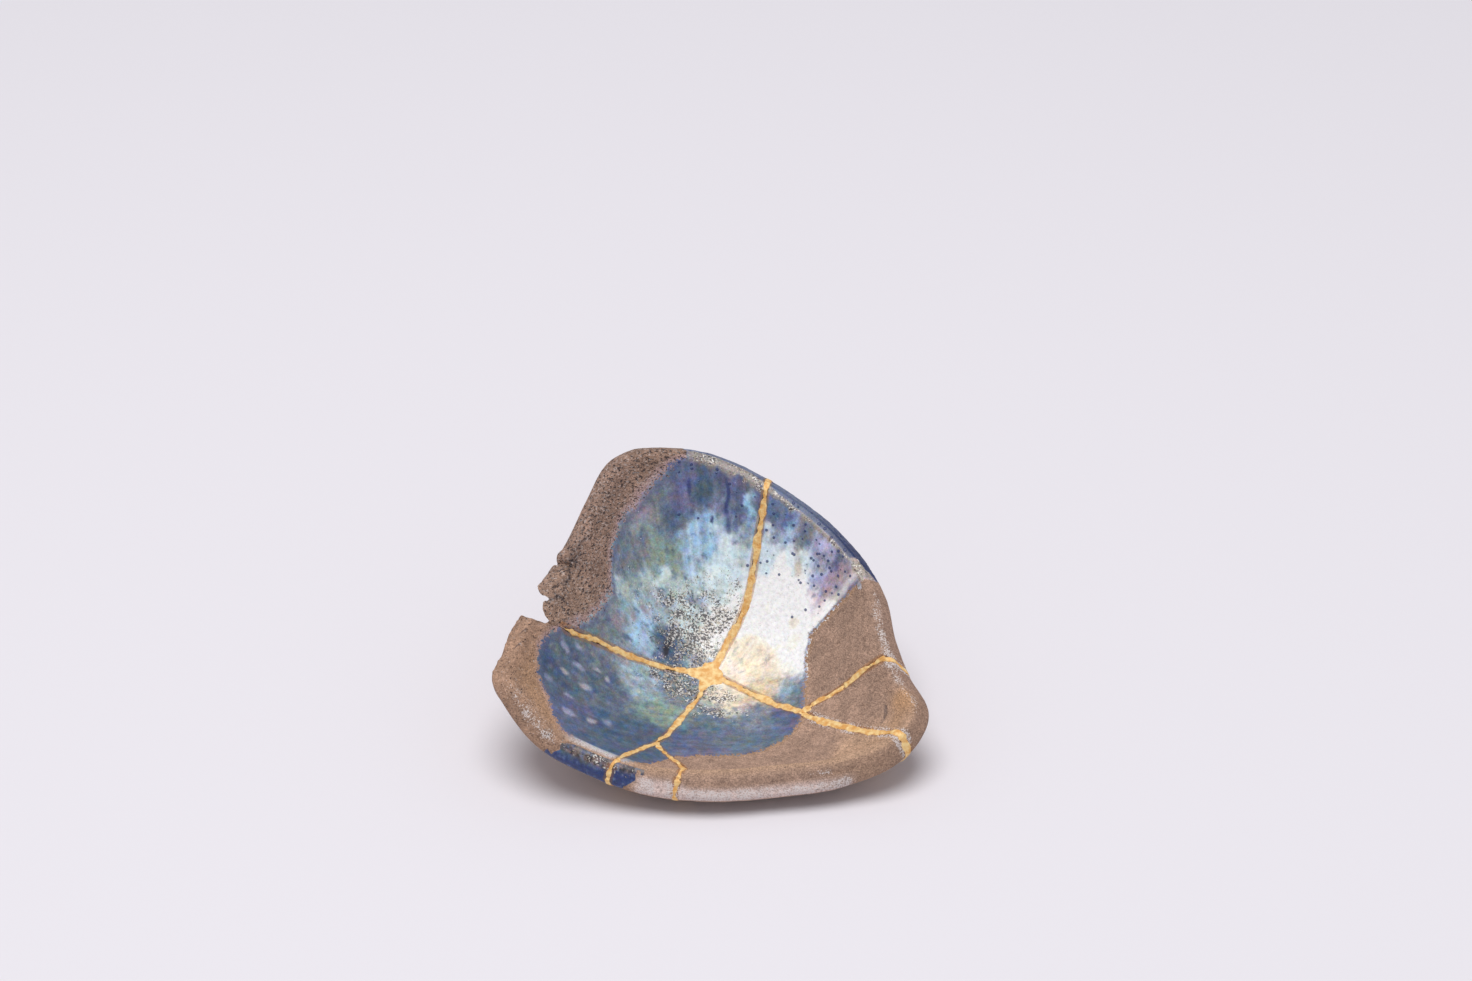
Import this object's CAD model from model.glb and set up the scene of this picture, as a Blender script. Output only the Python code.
"""Kintsugi bowl: fine shards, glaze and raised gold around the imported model, with camera and light."""
import itertools
import math

import bmesh
import bpy
import mathutils
import numpy as np
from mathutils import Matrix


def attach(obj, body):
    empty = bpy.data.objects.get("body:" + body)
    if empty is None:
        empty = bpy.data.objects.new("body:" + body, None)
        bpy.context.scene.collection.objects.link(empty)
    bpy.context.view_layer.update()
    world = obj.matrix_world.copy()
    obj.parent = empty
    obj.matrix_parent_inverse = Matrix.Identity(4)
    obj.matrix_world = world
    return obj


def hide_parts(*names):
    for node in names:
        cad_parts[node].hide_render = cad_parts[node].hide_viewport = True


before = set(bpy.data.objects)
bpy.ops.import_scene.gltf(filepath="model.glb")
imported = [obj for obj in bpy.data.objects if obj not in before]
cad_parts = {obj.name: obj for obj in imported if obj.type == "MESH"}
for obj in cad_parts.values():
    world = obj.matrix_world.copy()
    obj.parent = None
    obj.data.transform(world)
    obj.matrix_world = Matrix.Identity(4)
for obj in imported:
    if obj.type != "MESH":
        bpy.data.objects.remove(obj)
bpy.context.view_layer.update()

# Form, the same values as the solids
WIDTH = 0.175
RISE = 0.0901
BASE_WALL = 0.0135
BACK_LIP = 0.0095
FRONT_LIP = 0.0125
THICK_TURN = -70.0
HEEL_CUT = 0.00225
POLE_BACK = 16.15
FLOOR_LEAN = 0.10
FRONT_CURVE = 2.3
BACK_CURVE = 2.05
CALM = 60.0
RIM = np.array((
    (-90, 40.7, 15.1), (-66, 42.5, 15.1), (-48, 48.7, 17.4), (-38, 53.4, 22.2), (-31, 55.1, 27.4),
    (-25, 54.4, 32.8), (-18, 47.9, 38.3), (-8, 43.0, 45.3), (8, 40.6, 55.2), (24, 38.1, 64.8),
    (42, 35.3, 74.8), (60, 33.8, 83.2), (78, 34.5, 90.0), (96, 36.5, 95.4), (110, 36.9, 98.8),
    (119, 37.7, 99.8), (127, 38.2, 97.2), (140, 36.0, 87.7), (158, 35.2, 75.4), (176, 38.4, 66.3),
    (190, 44.2, 60.5), (199, 50.5, 55.6), (204, 53.3, 51.8), (210, 53.1, 46.0), (220, 51.4, 34.4),
    (234, 46.1, 23.4), (250, 42.3, 16.8),
))
GOLD_LIFT = 0.0004
STAR_WIDTH = 0.0125
STAR_PLACE = (-0.6, 19.3)
LEFT_SEAM_END = (-33.9, 12.2)
FRONT_FORK = (-12.3, -7.6)
RIGHT_FORK = (21.3, 3.3)
TEAR_PLACE = (-37.2, 10.4)
TEAR_LEAN = 53.0
TEAR_HEIGHT = 57.3
TEAR_DEPTH = 0.060
TEAR = (
    (0.0, 0.0), (-0.9, 1.7), (-1.4, 2.8), (-1.2, 4.3), (0.2, 5.0), (-1.9, 6.4), (-2.6, 8.0),
    (-9.2, 7.5), (-9.8, 1.4), (-6.6, 1.2), (-3.5, 0.5), (-0.7, -0.7),
)
CRACK_END = (-49.0, 9.1)
# name, width of the gold in metres, middle line in percent of the bowl's width
SEAMS = (
    ("back", 0.0024, (
        STAR_PLACE, (1.6, 22.3), (4.5, 26.6), (6.6, 28.9), (9.5, 33.2), (10.4, 35.9), (11.6, 40.0),
        (13.3, 43.6), (15.0, 56.0))),
    ("left", 0.0018, (
        STAR_PLACE, (-4.5, 19.7), (-10.9, 19.0), (-16.1, 18.4), (-25.3, 16.1), (-29.4, 14.4),
        LEFT_SEAM_END)),
    ("front", 0.0018, (
        STAR_PLACE, (-1.9, 13.9), (-7.2, 2.7), (-9.9, -3.5), FRONT_FORK, (-15.5, -11.0), (-18.8, -16.1),
        (-21.3, -20.7), (-30.4, -31.3))),
    ("wedge", 0.0016, (
        FRONT_FORK, (-9.7, -12.7), (-7.4, -16.0), (-5.2, -19.9), (-7.4, -23.7), (-10.7, -32.0))),
    ("corner", 0.0016, (
        RIGHT_FORK, (24.8, 5.2), (28.8, 5.8), (35.5, 6.7), (40.4, 5.8), (42.2, 4.9), (57.0, 2.0))),
    ("right", 0.0024, (
        STAR_PLACE, (2.3, 18.7), (11.3, 11.4), (14.8, 8.0), RIGHT_FORK, (25.4, -0.9), (34.9, -8.2),
        (40.1, -11.5), (43.3, -14.0), (57.0, -19.4))),
)

# A plan place well inside each shard, in percent of the bowl's width
SHARD_PLACES = {
    "shard_back_left": (-15.0, 35.0), "shard_back_right": (25.0, 25.0), "shard_right_corner": (36.0, -1.0),
    "shard_front_right": (15.0, -10.0), "shard_front_wedge": (-13.0, -17.0), "shard_front_left": (-30.0, 0.0),
}

# Mesh fineness
SECTORS = 960
FACE_RINGS = 140
ARC_STEPS = 9
BAND_STEPS = 12
EDGE_ROUND = 0.0032

MM = 0.001
PERCENT = WIDTH / 100.0
POLE = (0.0, POLE_BACK * PERCENT)
POLE_HEIGHT = BASE_WALL / 2.0 - HEEL_CUT

# Cuts and gold
CUT_BELOW = 0.02
CUT_ABOVE = 0.03
GOLD_LAP = 0.5 * MM
BEAD_STEP = 0.35 * MM
BEAD_HEIGHT = 0.36 * MM
FLARE_LENGTH = 7.0 * MM
# Arms of the star: direction, and reach in millimetres beyond its round middle
STAR_ARMS = ((62.0, 0.9), (178.0, 3.6), (252.0, 3.8), (322.0, 2.2), (15.0, 0.6), (120.0, -1.2), (215.0, -1.0))
STAR_SPREAD = 19.0
STAR_TRIM = 0.9
STAR_RINGS = 18
SHARP_ANGLE = 45.0


# Repeatable noise

HASH_AXES = (73856093, 19349663, 83492791)
HASH_SEED = 1274126177
HASH_MIX = ((15, 2246822519), (13, 3266489917))
HASH_WORD = 0xffffffff
HASH_PLACES = 50000


def lattice(cell, seed):
    """Repeatable numbers from 0 to 1 on whole-number places."""
    c = (cell + HASH_PLACES).astype(np.uint64)
    x, y, z = (c[..., k] * np.uint64(HASH_AXES[k]) for k in range(3))
    h = (x ^ y ^ z ^ np.uint64(seed * HASH_SEED % (HASH_WORD + 1))) & np.uint64(HASH_WORD)
    for shift, factor in HASH_MIX:
        h = ((h ^ (h >> np.uint64(shift))) * np.uint64(factor)) & np.uint64(HASH_WORD)
    h = h ^ (h >> np.uint64(16))
    return (h & np.uint64(0xffffff)).astype(np.float64) / 0x1000000


def noise(points, size, seed):
    """Smooth noise from -1 to 1 with features of about the given size."""
    q = points / size
    whole = np.floor(q).astype(np.int64)
    f = q - whole
    f = f * f * (3.0 - 2.0 * f)
    total = 0.0
    for step in itertools.product((0, 1), repeat=3):
        w = np.where(step, f, 1.0 - f)
        total = total + w[:, 0] * w[:, 1] * w[:, 2] * lattice(whole + step, seed)
    return 2.0 * total - 1.0


def layered(points, size, layers, seed):
    """Several layers of noise, each half the size and strength of the one before."""
    strengths = 0.5 ** np.arange(layers)
    return sum(s * noise(points, size * s, seed + 7 * i) for i, s in enumerate(strengths)) / strengths.sum()


def level_noise(x, y, size, seed):
    """Noise over pairs of numbers."""
    return noise(np.stack([x, y, np.zeros(len(x))], -1), size, seed)


def cells(points, size, seed):
    """Distance in cells to the nearest of one scattered point a cell, and its number."""
    q = points / size
    whole = np.floor(q).astype(np.int64)
    best = np.full(len(points), 9.0)
    tag = np.zeros(len(points))
    for step in itertools.product((-1, 0, 1), repeat=3):
        cell = whole + step
        spot = cell + np.stack([lattice(cell, seed + k) for k in (1, 2, 3)], -1)
        d = np.linalg.norm(q - spot, axis=-1)
        near = d < best
        best[near], tag[near] = d[near], lattice(cell[near], seed + 4)
    return best, tag


def ramp(x, low, high):
    """Smooth step from 0 at low to 1 at high."""
    t = np.clip((x - low) / (high - low), 0.0, 1.0)
    return t * t * (3.0 - 2.0 * t)


def bump_at(x, middle, spread):
    """A soft hill of height 1."""
    return np.exp(-((x - middle) / spread) ** 2)


def between(x, start, end, soft):
    """1 between two values, falling softly to 0 outside."""
    return ramp(x, start - soft, start + soft) * (1.0 - ramp(x, end - soft, end + soft))


# The bowl's wall

def rim_curve(column):
    """One column of the rim table, smooth between its rows, at even directions."""
    a = np.concatenate((RIM[-1:, 0] - 360.0, RIM[:, 0], RIM[:2, 0] + 360.0))
    v = np.concatenate((RIM[-1:, column], RIM[:, column], RIM[:2, column]))
    lean = np.gradient(v, a)
    turn = np.arange(a[1], a[1] + 360.0, 0.1)
    k = np.searchsorted(a[:-1], turn, side="right") - 1
    span = a[k + 1] - a[k]
    t = (turn - a[k]) / span
    return turn, ((2 * t ** 3 - 3 * t ** 2 + 1) * v[k] + (t ** 3 - 2 * t ** 2 + t) * span * lean[k]
                  + (3 * t ** 2 - 2 * t ** 3) * v[k + 1] + (t ** 3 - t ** 2) * span * lean[k + 1])


REACH_CURVE = rim_curve(1)
HEIGHT_CURVE = rim_curve(2)


def evened(curve, turn, share):
    """A rim value, evened out over nearby directions away from the rim."""
    spread = CALM * np.maximum(0.0, 1.0 - share)
    total = 0.0
    for step, weight in ((-1.0, 1), (-0.5, 2), (0.0, 3), (0.5, 2), (1.0, 1)):
        total = total + weight * np.interp(turn + step * spread, *curve, period=360.0)
    return total / 9.0


def wall(turn, share):
    """Middle of the wall and its thickness, for arrays of directions and shares of the reach."""
    reach = evened(REACH_CURVE, turn, share) * PERCENT
    rim_height = evened(HEIGHT_CURVE, turn, share) * RISE / 100.0
    away = share * reach
    angle = np.radians(turn)
    back = np.sin(angle)
    power = FRONT_CURVE + (BACK_CURVE - FRONT_CURVE) * (1.0 + back) / 2.0
    climb = rim_height - POLE_HEIGHT - FLOOR_LEAN * reach * back
    height = POLE_HEIGHT + FLOOR_LEAN * away * back + climb * np.maximum(share, 0.0) ** power
    bias = np.maximum(0.0, np.cos(np.radians(turn - THICK_TURN))) ** 2
    lip = BACK_LIP + (FRONT_LIP - BACK_LIP) * bias
    thickness = BASE_WALL + (lip - BASE_WALL) * np.clip(share, 0.0, 1.0) ** 2
    place = np.stack([POLE[0] + away * np.cos(angle), POLE[1] + away * back, height], -1)
    return place, thickness


def unit(v):
    return v / np.maximum(np.linalg.norm(v, axis=-1, keepdims=True), 1e-12)


def wall_normal(turn, share):
    """Direction across the wall, towards the inside of the bowl."""
    s = np.maximum(share, 0.03)
    along = wall(turn, s + 0.004)[0] - wall(turn, s - 0.004)[0]
    aside = wall(turn + 0.4, s)[0] - wall(turn - 0.4, s)[0]
    normal = unit(np.cross(along, aside))
    rest = unit(np.array((0.0, -FLOOR_LEAN, 1.0)))
    blend = ramp(share, 0.0, 0.06)[..., None]
    return unit(normal * blend + rest * (1.0 - blend))


def rim_spacing(turn):
    """Metres across the rim for a whole share, measured square to the rim."""
    one = np.ones_like(turn)
    along = (wall(turn, one)[0] - wall(turn, one - 0.01)[0]) / 0.01
    aside = unit(wall(turn + 0.3, one)[0] - wall(turn - 0.3, one)[0])
    return np.linalg.norm(np.cross(along, aside), axis=-1)


def lip_point(turn, step):
    """A point on the rounded lip, from the inner face at 0 to the outer at 1."""
    spacing = rim_spacing(turn)
    thickness = wall(turn, np.ones_like(turn))[1]
    arc = EDGE_ROUND * math.pi / 2.0
    flat = thickness - 2.0 * EDGE_ROUND
    gone = step * (2.0 * arc + flat)
    first = np.clip(gone / arc, 0.0, 1.0) * math.pi / 2.0
    middle = np.clip(gone - arc, 0.0, flat)
    last = np.clip((gone - arc - flat) / arc, 0.0, 1.0) * math.pi / 2.0
    out = EDGE_ROUND * (np.sin(first) - (1.0 - np.cos(last)))
    across = thickness / 2.0 - EDGE_ROUND * (1.0 - np.cos(first)) - middle - EDGE_ROUND * np.sin(last)
    share = 1.0 - (EDGE_ROUND - out) / spacing
    return wall(turn, share)[0] + wall_normal(turn, share) * across[..., None]


MAP_WIDTH = (-0.112, 0.1121)
MAP_DEPTH = (-0.070, 0.1201)
MAP_STEP = 0.0006


def plan_maps():
    """Height, thickness, direction and share of the wall's middle over an even grid in plan."""
    xs = np.arange(*MAP_WIDTH, MAP_STEP)
    ys = np.arange(*MAP_DEPTH, MAP_STEP)
    x, y = np.meshgrid(xs, ys)
    turn = np.degrees(np.arctan2(y - POLE[1], x - POLE[0]))
    away = np.hypot(x - POLE[0], y - POLE[1])
    share = away / (evened(REACH_CURVE, turn, np.ones_like(turn)) * PERCENT)
    for _ in range(8):
        share = away / (evened(REACH_CURVE, turn, share) * PERCENT)
    place, thickness = wall(turn, share)
    dzdy, dzdx = np.gradient(place[..., 2], ys, xs)
    normal = unit(np.stack([-dzdx, -dzdy, np.ones_like(dzdx)], -1))
    return xs, ys, np.concatenate([place[..., 2:], thickness[..., None], normal, share[..., None]], -1)


MAP_X, MAP_Y, MAPS = plan_maps()


def look_up(x, y):
    """Height, thickness, direction (3) and share of the wall's middle above plan places."""
    u = np.clip((x - MAP_X[0]) / (MAP_X[1] - MAP_X[0]), 0.0, len(MAP_X) - 1.001)
    v = np.clip((y - MAP_Y[0]) / (MAP_Y[1] - MAP_Y[0]), 0.0, len(MAP_Y) - 1.001)
    i, j = u.astype(int), v.astype(int)
    u, v = (u - i)[:, None], (v - j)[:, None]
    return ((MAPS[j, i] * (1 - u) + MAPS[j, i + 1] * u) * (1 - v)
            + (MAPS[j + 1, i] * (1 - u) + MAPS[j + 1, i + 1] * u) * v)


class Spots:
    """Where points lie on the wall: direction, share of the reach, side (1 inner to -1 outer).

    u and v are percent of the width in plan, over runs from 0 inside to 1 outside, and right_turn is the
    direction counted so that it runs on unbroken past the right side.
    """

    def __init__(self, points):
        x, y = points[:, 0].copy(), points[:, 1].copy()
        for _ in range(6):
            found = look_up(x, y)
            gap = points - np.stack([x, y, found[:, 0]], -1)
            across = (gap * found[:, 2:5]).sum(-1)
            x = points[:, 0] - across * found[:, 2]
            y = points[:, 1] - across * found[:, 3]
        found = look_up(x, y)
        self.points = points
        self.turn = np.degrees(np.arctan2(y - POLE[1], x - POLE[0])) % 360.0
        self.right_turn = (self.turn + 180.0) % 360.0
        self.share = found[:, 5]
        self.side = across / (found[:, 1] / 2.0)
        self.over = (1.0 - self.side) / 2.0
        self.normal = found[:, 2:5]
        self.u, self.v = points[:, 0] / PERCENT, points[:, 1] / PERCENT
        self.inner = ramp(self.side, 0.2, 0.75)
        self.outer = ramp(-self.side, 0.2, 0.75)
        self.rim = ramp(self.share, 0.93, 0.985)
        self.out = np.clip(1.0 - (1.0 - self.share) * rim_spacing(self.turn) / EDGE_ROUND, 0.0, 1.0)
        self.skin = np.maximum(ramp(np.abs(self.side), 0.88, 0.98), ramp(self.out, 0.7, 0.95))

    def outward(self):
        """Directions along the wall towards the rim."""
        ahead = wall(self.turn + 0.3, self.share)[0] - wall(self.turn - 0.3, self.share)[0]
        return unit(np.cross(unit(ahead), self.normal))

    def directions(self):
        """Outward directions of the plain form's skin."""
        outward = self.outward()
        level = np.sqrt(1.0 - self.out ** 2) * np.sign(self.side)
        return unit(outward * self.out[:, None] + self.normal * level[:, None])


def face_point(plan, side):
    """Points on the inner (1) or outer (-1) face at plan places, with normals and shares."""
    x, y = plan[:, 0].copy(), plan[:, 1].copy()
    for _ in range(6):
        found = look_up(x, y)
        half = found[:, 1:2] * side / 2.0
        x = plan[:, 0] - half[:, 0] * found[:, 2]
        y = plan[:, 1] - half[:, 0] * found[:, 3]
    found = look_up(x, y)
    place = np.stack([x, y, found[:, 0]], -1) + found[:, 2:5] * found[:, 1:2] * side / 2.0
    return place, found[:, 2:5] * side, found[:, 5]


# Cutting the blank into shards

def mesh_object(name, verts, faces):
    mesh = bpy.data.meshes.new(name)
    mesh.from_pydata(verts, [], faces)
    mesh.validate()
    thing = bpy.data.objects.new(name, mesh)
    bpy.context.scene.collection.objects.link(thing)
    return thing


def closed_skin(start, rings, end):
    """Points and faces of a closed skin: a point, equal rings of points, and a point."""
    rings = np.asarray(rings)
    count = rings.shape[1]
    i = np.arange(count)
    j = (i + 1) % count
    a = 1 + count * np.arange(len(rings) - 1)[:, None]
    last = 1 + count * (len(rings) - 1)
    quads = np.stack([a + i, a + j, a + j + count, a + i + count], -1).reshape(-1, 4)
    caps = np.concatenate([np.stack([0 * i, 1 + j, 1 + i], -1),
                           np.stack([0 * i + last + count, last + i, last + j], -1)])
    points = np.concatenate([np.reshape(start, (1, 3)), rings.reshape(-1, 3), np.reshape(end, (1, 3))])
    return points, quads.tolist() + caps.tolist()


def blank():
    """The whole bowl as one closed fine skin: inner face, lip, outer face."""
    turn = np.arange(SECTORS) * 360.0 / SECTORS
    inner_end = 1.0 - EDGE_ROUND / rim_spacing(turn)

    def ring(turn, share, side):
        place, thickness = wall(turn, share)
        return place + wall_normal(turn, share) * thickness[:, None] * side / 2.0

    steps = 2 * ARC_STEPS + BAND_STEPS
    rings = [ring(turn, inner_end * k / FACE_RINGS, 1.0) for k in range(1, FACE_RINGS + 1)]
    rings += [lip_point(turn, np.full(SECTORS, k / steps)) for k in range(1, steps)]
    rings += [ring(turn, inner_end * k / FACE_RINGS, -1.0) for k in range(FACE_RINGS, 0, -1)]
    zero = np.zeros(1)
    points, faces = closed_skin(ring(zero, zero, 1.0), rings, ring(zero, zero, -1.0))
    points[:, 2] = np.maximum(points[:, 2], 0.0)
    return mesh_object("blank", points, faces)


def prism(name, outline, low=-CUT_BELOW, high=RISE + CUT_ABOVE):
    """An upright solid on a closed outline in metres."""
    work = bmesh.new()
    base = work.faces.new([work.verts.new((x, y, low)) for x, y in outline])
    top = bmesh.ops.extrude_face_region(work, geom=[base])
    bmesh.ops.translate(work, vec=(0.0, 0.0, high - low),
                        verts=[v for v in top["geom"] if isinstance(v, bmesh.types.BMVert)])
    bmesh.ops.triangulate(work, faces=work.faces)
    bmesh.ops.recalc_face_normals(work, faces=work.faces)
    thing = mesh_object(name, [], [])
    work.to_mesh(thing.data)
    work.free()
    return thing


def resample(points, step):
    """Even points along a broken line given in percent, in metres, and the way along it."""
    p = np.array(points, float) * PERCENT
    length = np.concatenate(([0.0], np.cumsum(np.hypot(*(p[1:] - p[:-1]).T))))
    s = np.linspace(0.0, length[-1], max(2, int(round(length[-1] / step)) + 1))
    return np.stack([np.interp(s, length, p[:, 0]), np.interp(s, length, p[:, 1])], -1), s


def sideways(line):
    """Unit directions square to a line in plan."""
    along = unit(np.gradient(line, axis=0))
    return np.stack([-along[:, 1], along[:, 0]], -1)


def seam_line(points):
    """A seam's middle line in metres with its corners rounded, and the way along it."""
    line, s = resample(points, 1.5 * MM)
    for _ in range(2):
        line[1:-1] = (line[:-2] + 2.0 * line[1:-1] + line[2:]) / 4.0
    return line, s


def band(name, line, width):
    """An upright slab along a line, with a width for all or for each point."""
    off = sideways(line) * np.broadcast_to(width, len(line))[:, None] / 2.0
    return prism(name, np.concatenate([line + off, (line - off)[::-1]]))


def star_reach(angle):
    """Reach of the gold patch in each direction: a star with blunt arms."""
    total = np.full(len(angle), STAR_WIDTH / MM / 2.0 - STAR_TRIM)
    for turn, more in STAR_ARMS:
        total += more * bump_at((angle - turn + 180.0) % 360.0, 180.0, STAR_SPREAD)
    return (total + 0.5 * level_noise(np.cos(np.radians(angle)), np.sin(np.radians(angle)), 0.25, 11)) * MM


def star_places(turn, reach):
    """Plan places round the star's middle."""
    angle = np.radians(turn)
    return np.array(STAR_PLACE) * PERCENT + np.stack([np.cos(angle), np.sin(angle)], -1) * reach[:, None]


def boolean(thing, other, operation):
    step = thing.modifiers.new(other.name, "BOOLEAN")
    step.operation = operation
    step.object = other
    step.solver = "MANIFOLD"


def cutters():
    """The solids that cut the blank: star, seams, open crack and torn notch."""
    ring = np.arange(0.0, 360.0, 6.0)
    tools = [prism("star_cut", star_places(ring, star_reach(ring) - GOLD_LAP))]
    for name, width, points in SEAMS:
        tools.append(band(name + "_cut", seam_line(points)[0], width - GOLD_LAP))
    line, s = resample((LEFT_SEAM_END, TEAR_PLACE, CRACK_END), 0.8 * MM)
    line = line + sideways(line) * (level_noise(*line.T, 2.2 * MM, 21) * 0.35 * MM)[:, None]
    tools.append(band("crack_cut", line, (0.25 + 0.45 * ramp(s, 0.0, 7.0 * MM)) * MM))
    tear = resample(TEAR + TEAR[:1], 0.9 * MM)[0][:-1]
    tear = tear + np.stack([level_noise(*tear.T, 1.6 * MM, seed) for seed in (31, 32)], -1) * 0.4 * MM
    notch = prism("tear_cut", tear, -TEAR_DEPTH / 2.0, TEAR_DEPTH / 2.0)
    notch.rotation_euler.x = math.radians(TEAR_LEAN)
    notch.location = (TEAR_PLACE[0] * PERCENT, TEAR_PLACE[1] * PERCENT, TEAR_HEIGHT * RISE / 100.0)
    return tools + [notch]


def pulled(items, key, kind=int, width=1):
    """One property of all of a mesh's items."""
    values = np.empty(len(items) * width, kind)
    items.foreach_get(key, values)
    return values


def cut_shards():
    """The six fine shards as points and faces, cut from the blank."""
    whole, tools = blank(), cutters()
    for tool in tools[1:]:
        boolean(tools[0], tool, "UNION")
    boolean(whole, tools[0], "DIFFERENCE")
    bpy.context.view_layer.update()
    seen = whole.evaluated_get(bpy.context.evaluated_depsgraph_get())
    mesh = seen.to_mesh()
    points = pulled(mesh.vertices, "co", float, 3).reshape(-1, 3)
    owner = bodies(len(points), pulled(mesh.edges, "vertices", width=2).reshape(-1, 2))
    sizes = pulled(mesh.polygons, "loop_total")
    corners = pulled(mesh.loops, "vertex_index")
    seen.to_mesh_clear()
    for tool in tools + [whole]:
        bpy.data.objects.remove(tool, do_unlink=True)
    return split(points, corners, sizes, owner)


def bodies(count, edges):
    """The lowest point number of the body that each point belongs to."""
    owner = np.arange(count)
    while True:
        a, b = owner[edges[:, 0]], owner[edges[:, 1]]
        apart = a != b
        if not apart.any():
            return owner
        np.minimum.at(owner, np.maximum(a, b)[apart], np.minimum(a, b)[apart])
        while (owner[owner] != owner).any():
            owner = owner[owner]


def split(points, corners, sizes, owner):
    """Points and faces of each shard: the body that its place lies in."""
    starts = np.concatenate(([0], np.cumsum(sizes)[:-1]))
    face_owner = owner[corners[starts]]
    shards = {}
    for name, place in SHARD_PLACES.items():
        body = owner[np.hypot(*(points[:, :2] / PERCENT - place).T).argmin()]
        used = owner == body
        renamed = (np.cumsum(used) - 1)[corners]
        faces = [renamed[starts[f]:starts[f] + sizes[f]].tolist() for f in np.nonzero(face_owner == body)[0]]
        shards[name] = (points[used], faces)
    return shards


# Relief of the skin

# Reach of the glaze on the inner face in percent of the width, by direction from the pole
GLAZE_EDGE = np.array((
    (2, 22.7), (14, 24.5), (97, 34.0), (114, 31.8), (131, 30.4), (148, 27.8), (157, 24.8), (167, 26.1),
    (177, 28.9), (185, 32.7), (191, 37.6), (196, 41.2), (202, 43.7), (210, 42.6), (222, 45.6), (231, 43.3),
    (242, 41.2), (251, 34.6), (254, 30.4), (266, 27.9), (293, 29.0), (316, 27.3), (333, 24.5), (348, 22.6),
))
WING_FROM = 14.3
WING_TO = 97.0
# The pale line where two pours of glaze meet, in percent of the width
POUR_EDGE = ((-30.0, 17.4), (-26.0, 21.4), (-22.4, 26.4), (-18.6, 30.4), (-12.5, 33.8), (-5.0, 35.0))
# Fissures in the clay in percent of the width
CRACKS = (
    ((-35.2, 21.2), (-31.8, 25.4), (-30.2, 28.6), (-28.4, 30.0)), ((-33.0, 23.6), (-31.0, 24.4), (-30.2, 26.4)),
    ((-37.8, 13.4), (-34.8, 16.4), (-33.4, 16.6)), ((-44.0, 4.4), (-42.3, 5.4)), ((-45.6, 1.2), (-44.2, 2.0)),
    ((40.3, -4.0), (40.4, -6.0), (39.5, -7.9)), ((-34.0, 19.0), (-32.5, 21.0), (-32.9, 22.6)),
)
PIT_STRETCH = (1.0, 1.0, 0.7)
# Worn and broken places of the rim: millimetres outwards, direction, half width and stray in degrees,
# and the share of the reach where each starts
TORN_STEPS = (
    (-2.9, 198.5, 5.0, 0.0, 0.72), (1.2, 177.5, 3.2, 0.0, 0.88), (0.9, 163.2, 1.5, 0.0, 0.93),
    (-3.4, 166.3, 1.0, 0.6, 0.95), (-0.9, 186.0, 1.0, 0.6, 0.965),
)


def strayed(at, *waves):
    """Plan places in percent, moved about by noise: reach, size in millimetres and two seeds."""
    u, v = at.u, at.v
    for reach, size, seed_u, seed_v in waves:
        u = u + reach * noise(at.points, size * MM, seed_u)
        v = v + reach * noise(at.points, size * MM, seed_v)
    return u, v


def glaze_inset(at):
    """Millimetres from the glaze's edge, positive on the glazed side, on the inner face."""
    x, y = strayed(at, (0.40, 6.0, 51, 53), (0.22, 2.2, 52, 54))
    y = y - POLE_BACK
    turn = np.degrees(np.arctan2(y, x)) % 360.0
    away = np.hypot(x, y)
    round_part = np.interp(turn, GLAZE_EDGE[:, 0], GLAZE_EDGE[:, 1], period=360.0) - away
    lean = (turn - WING_FROM + 180.0) % 360.0 - 180.0
    wing = np.minimum(np.radians(lean), np.radians(WING_TO - turn)) * away
    wing = np.where(np.abs(lean) < 120.0, wing, -20.0)
    return np.maximum(round_part, wing) * PERCENT / MM


def line_distance(x, y, line):
    """Distance from plan places to a broken line, all in the same unit."""
    best = np.full(len(x), 99.0)
    for (x0, y0), (x1, y1) in zip(line[:-1], line[1:]):
        dx, dy = x1 - x0, y1 - y0
        t = np.clip(((x - x0) * dx + (y - y0) * dy) / (dx * dx + dy * dy), 0.0, 1.0)
        best = np.minimum(best, np.hypot(x - x0 - t * dx, y - y0 - t * dy))
    return best


def seam_distance(x, y):
    """Metres from plan places to the nearest edge of a joint."""
    return np.min([line_distance(x, y, seam_line(points)[0][::2]) - width / 2.0
                   for _, width, points in SEAMS], axis=0)


def fissures(at):
    """Depth of the drying cracks in the clay, 0 to 1."""
    x, y = strayed(at, (0.3, 3.4, 161, 162))
    near = np.min([line_distance(x, y, line) for line in CRACKS], axis=0)
    return (1.0 - ramp(near, 0.02, 0.36)) * (0.75 + 0.5 * noise(at.points, 3.0 * MM, 163)) * (at.side > 0.2)


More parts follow.
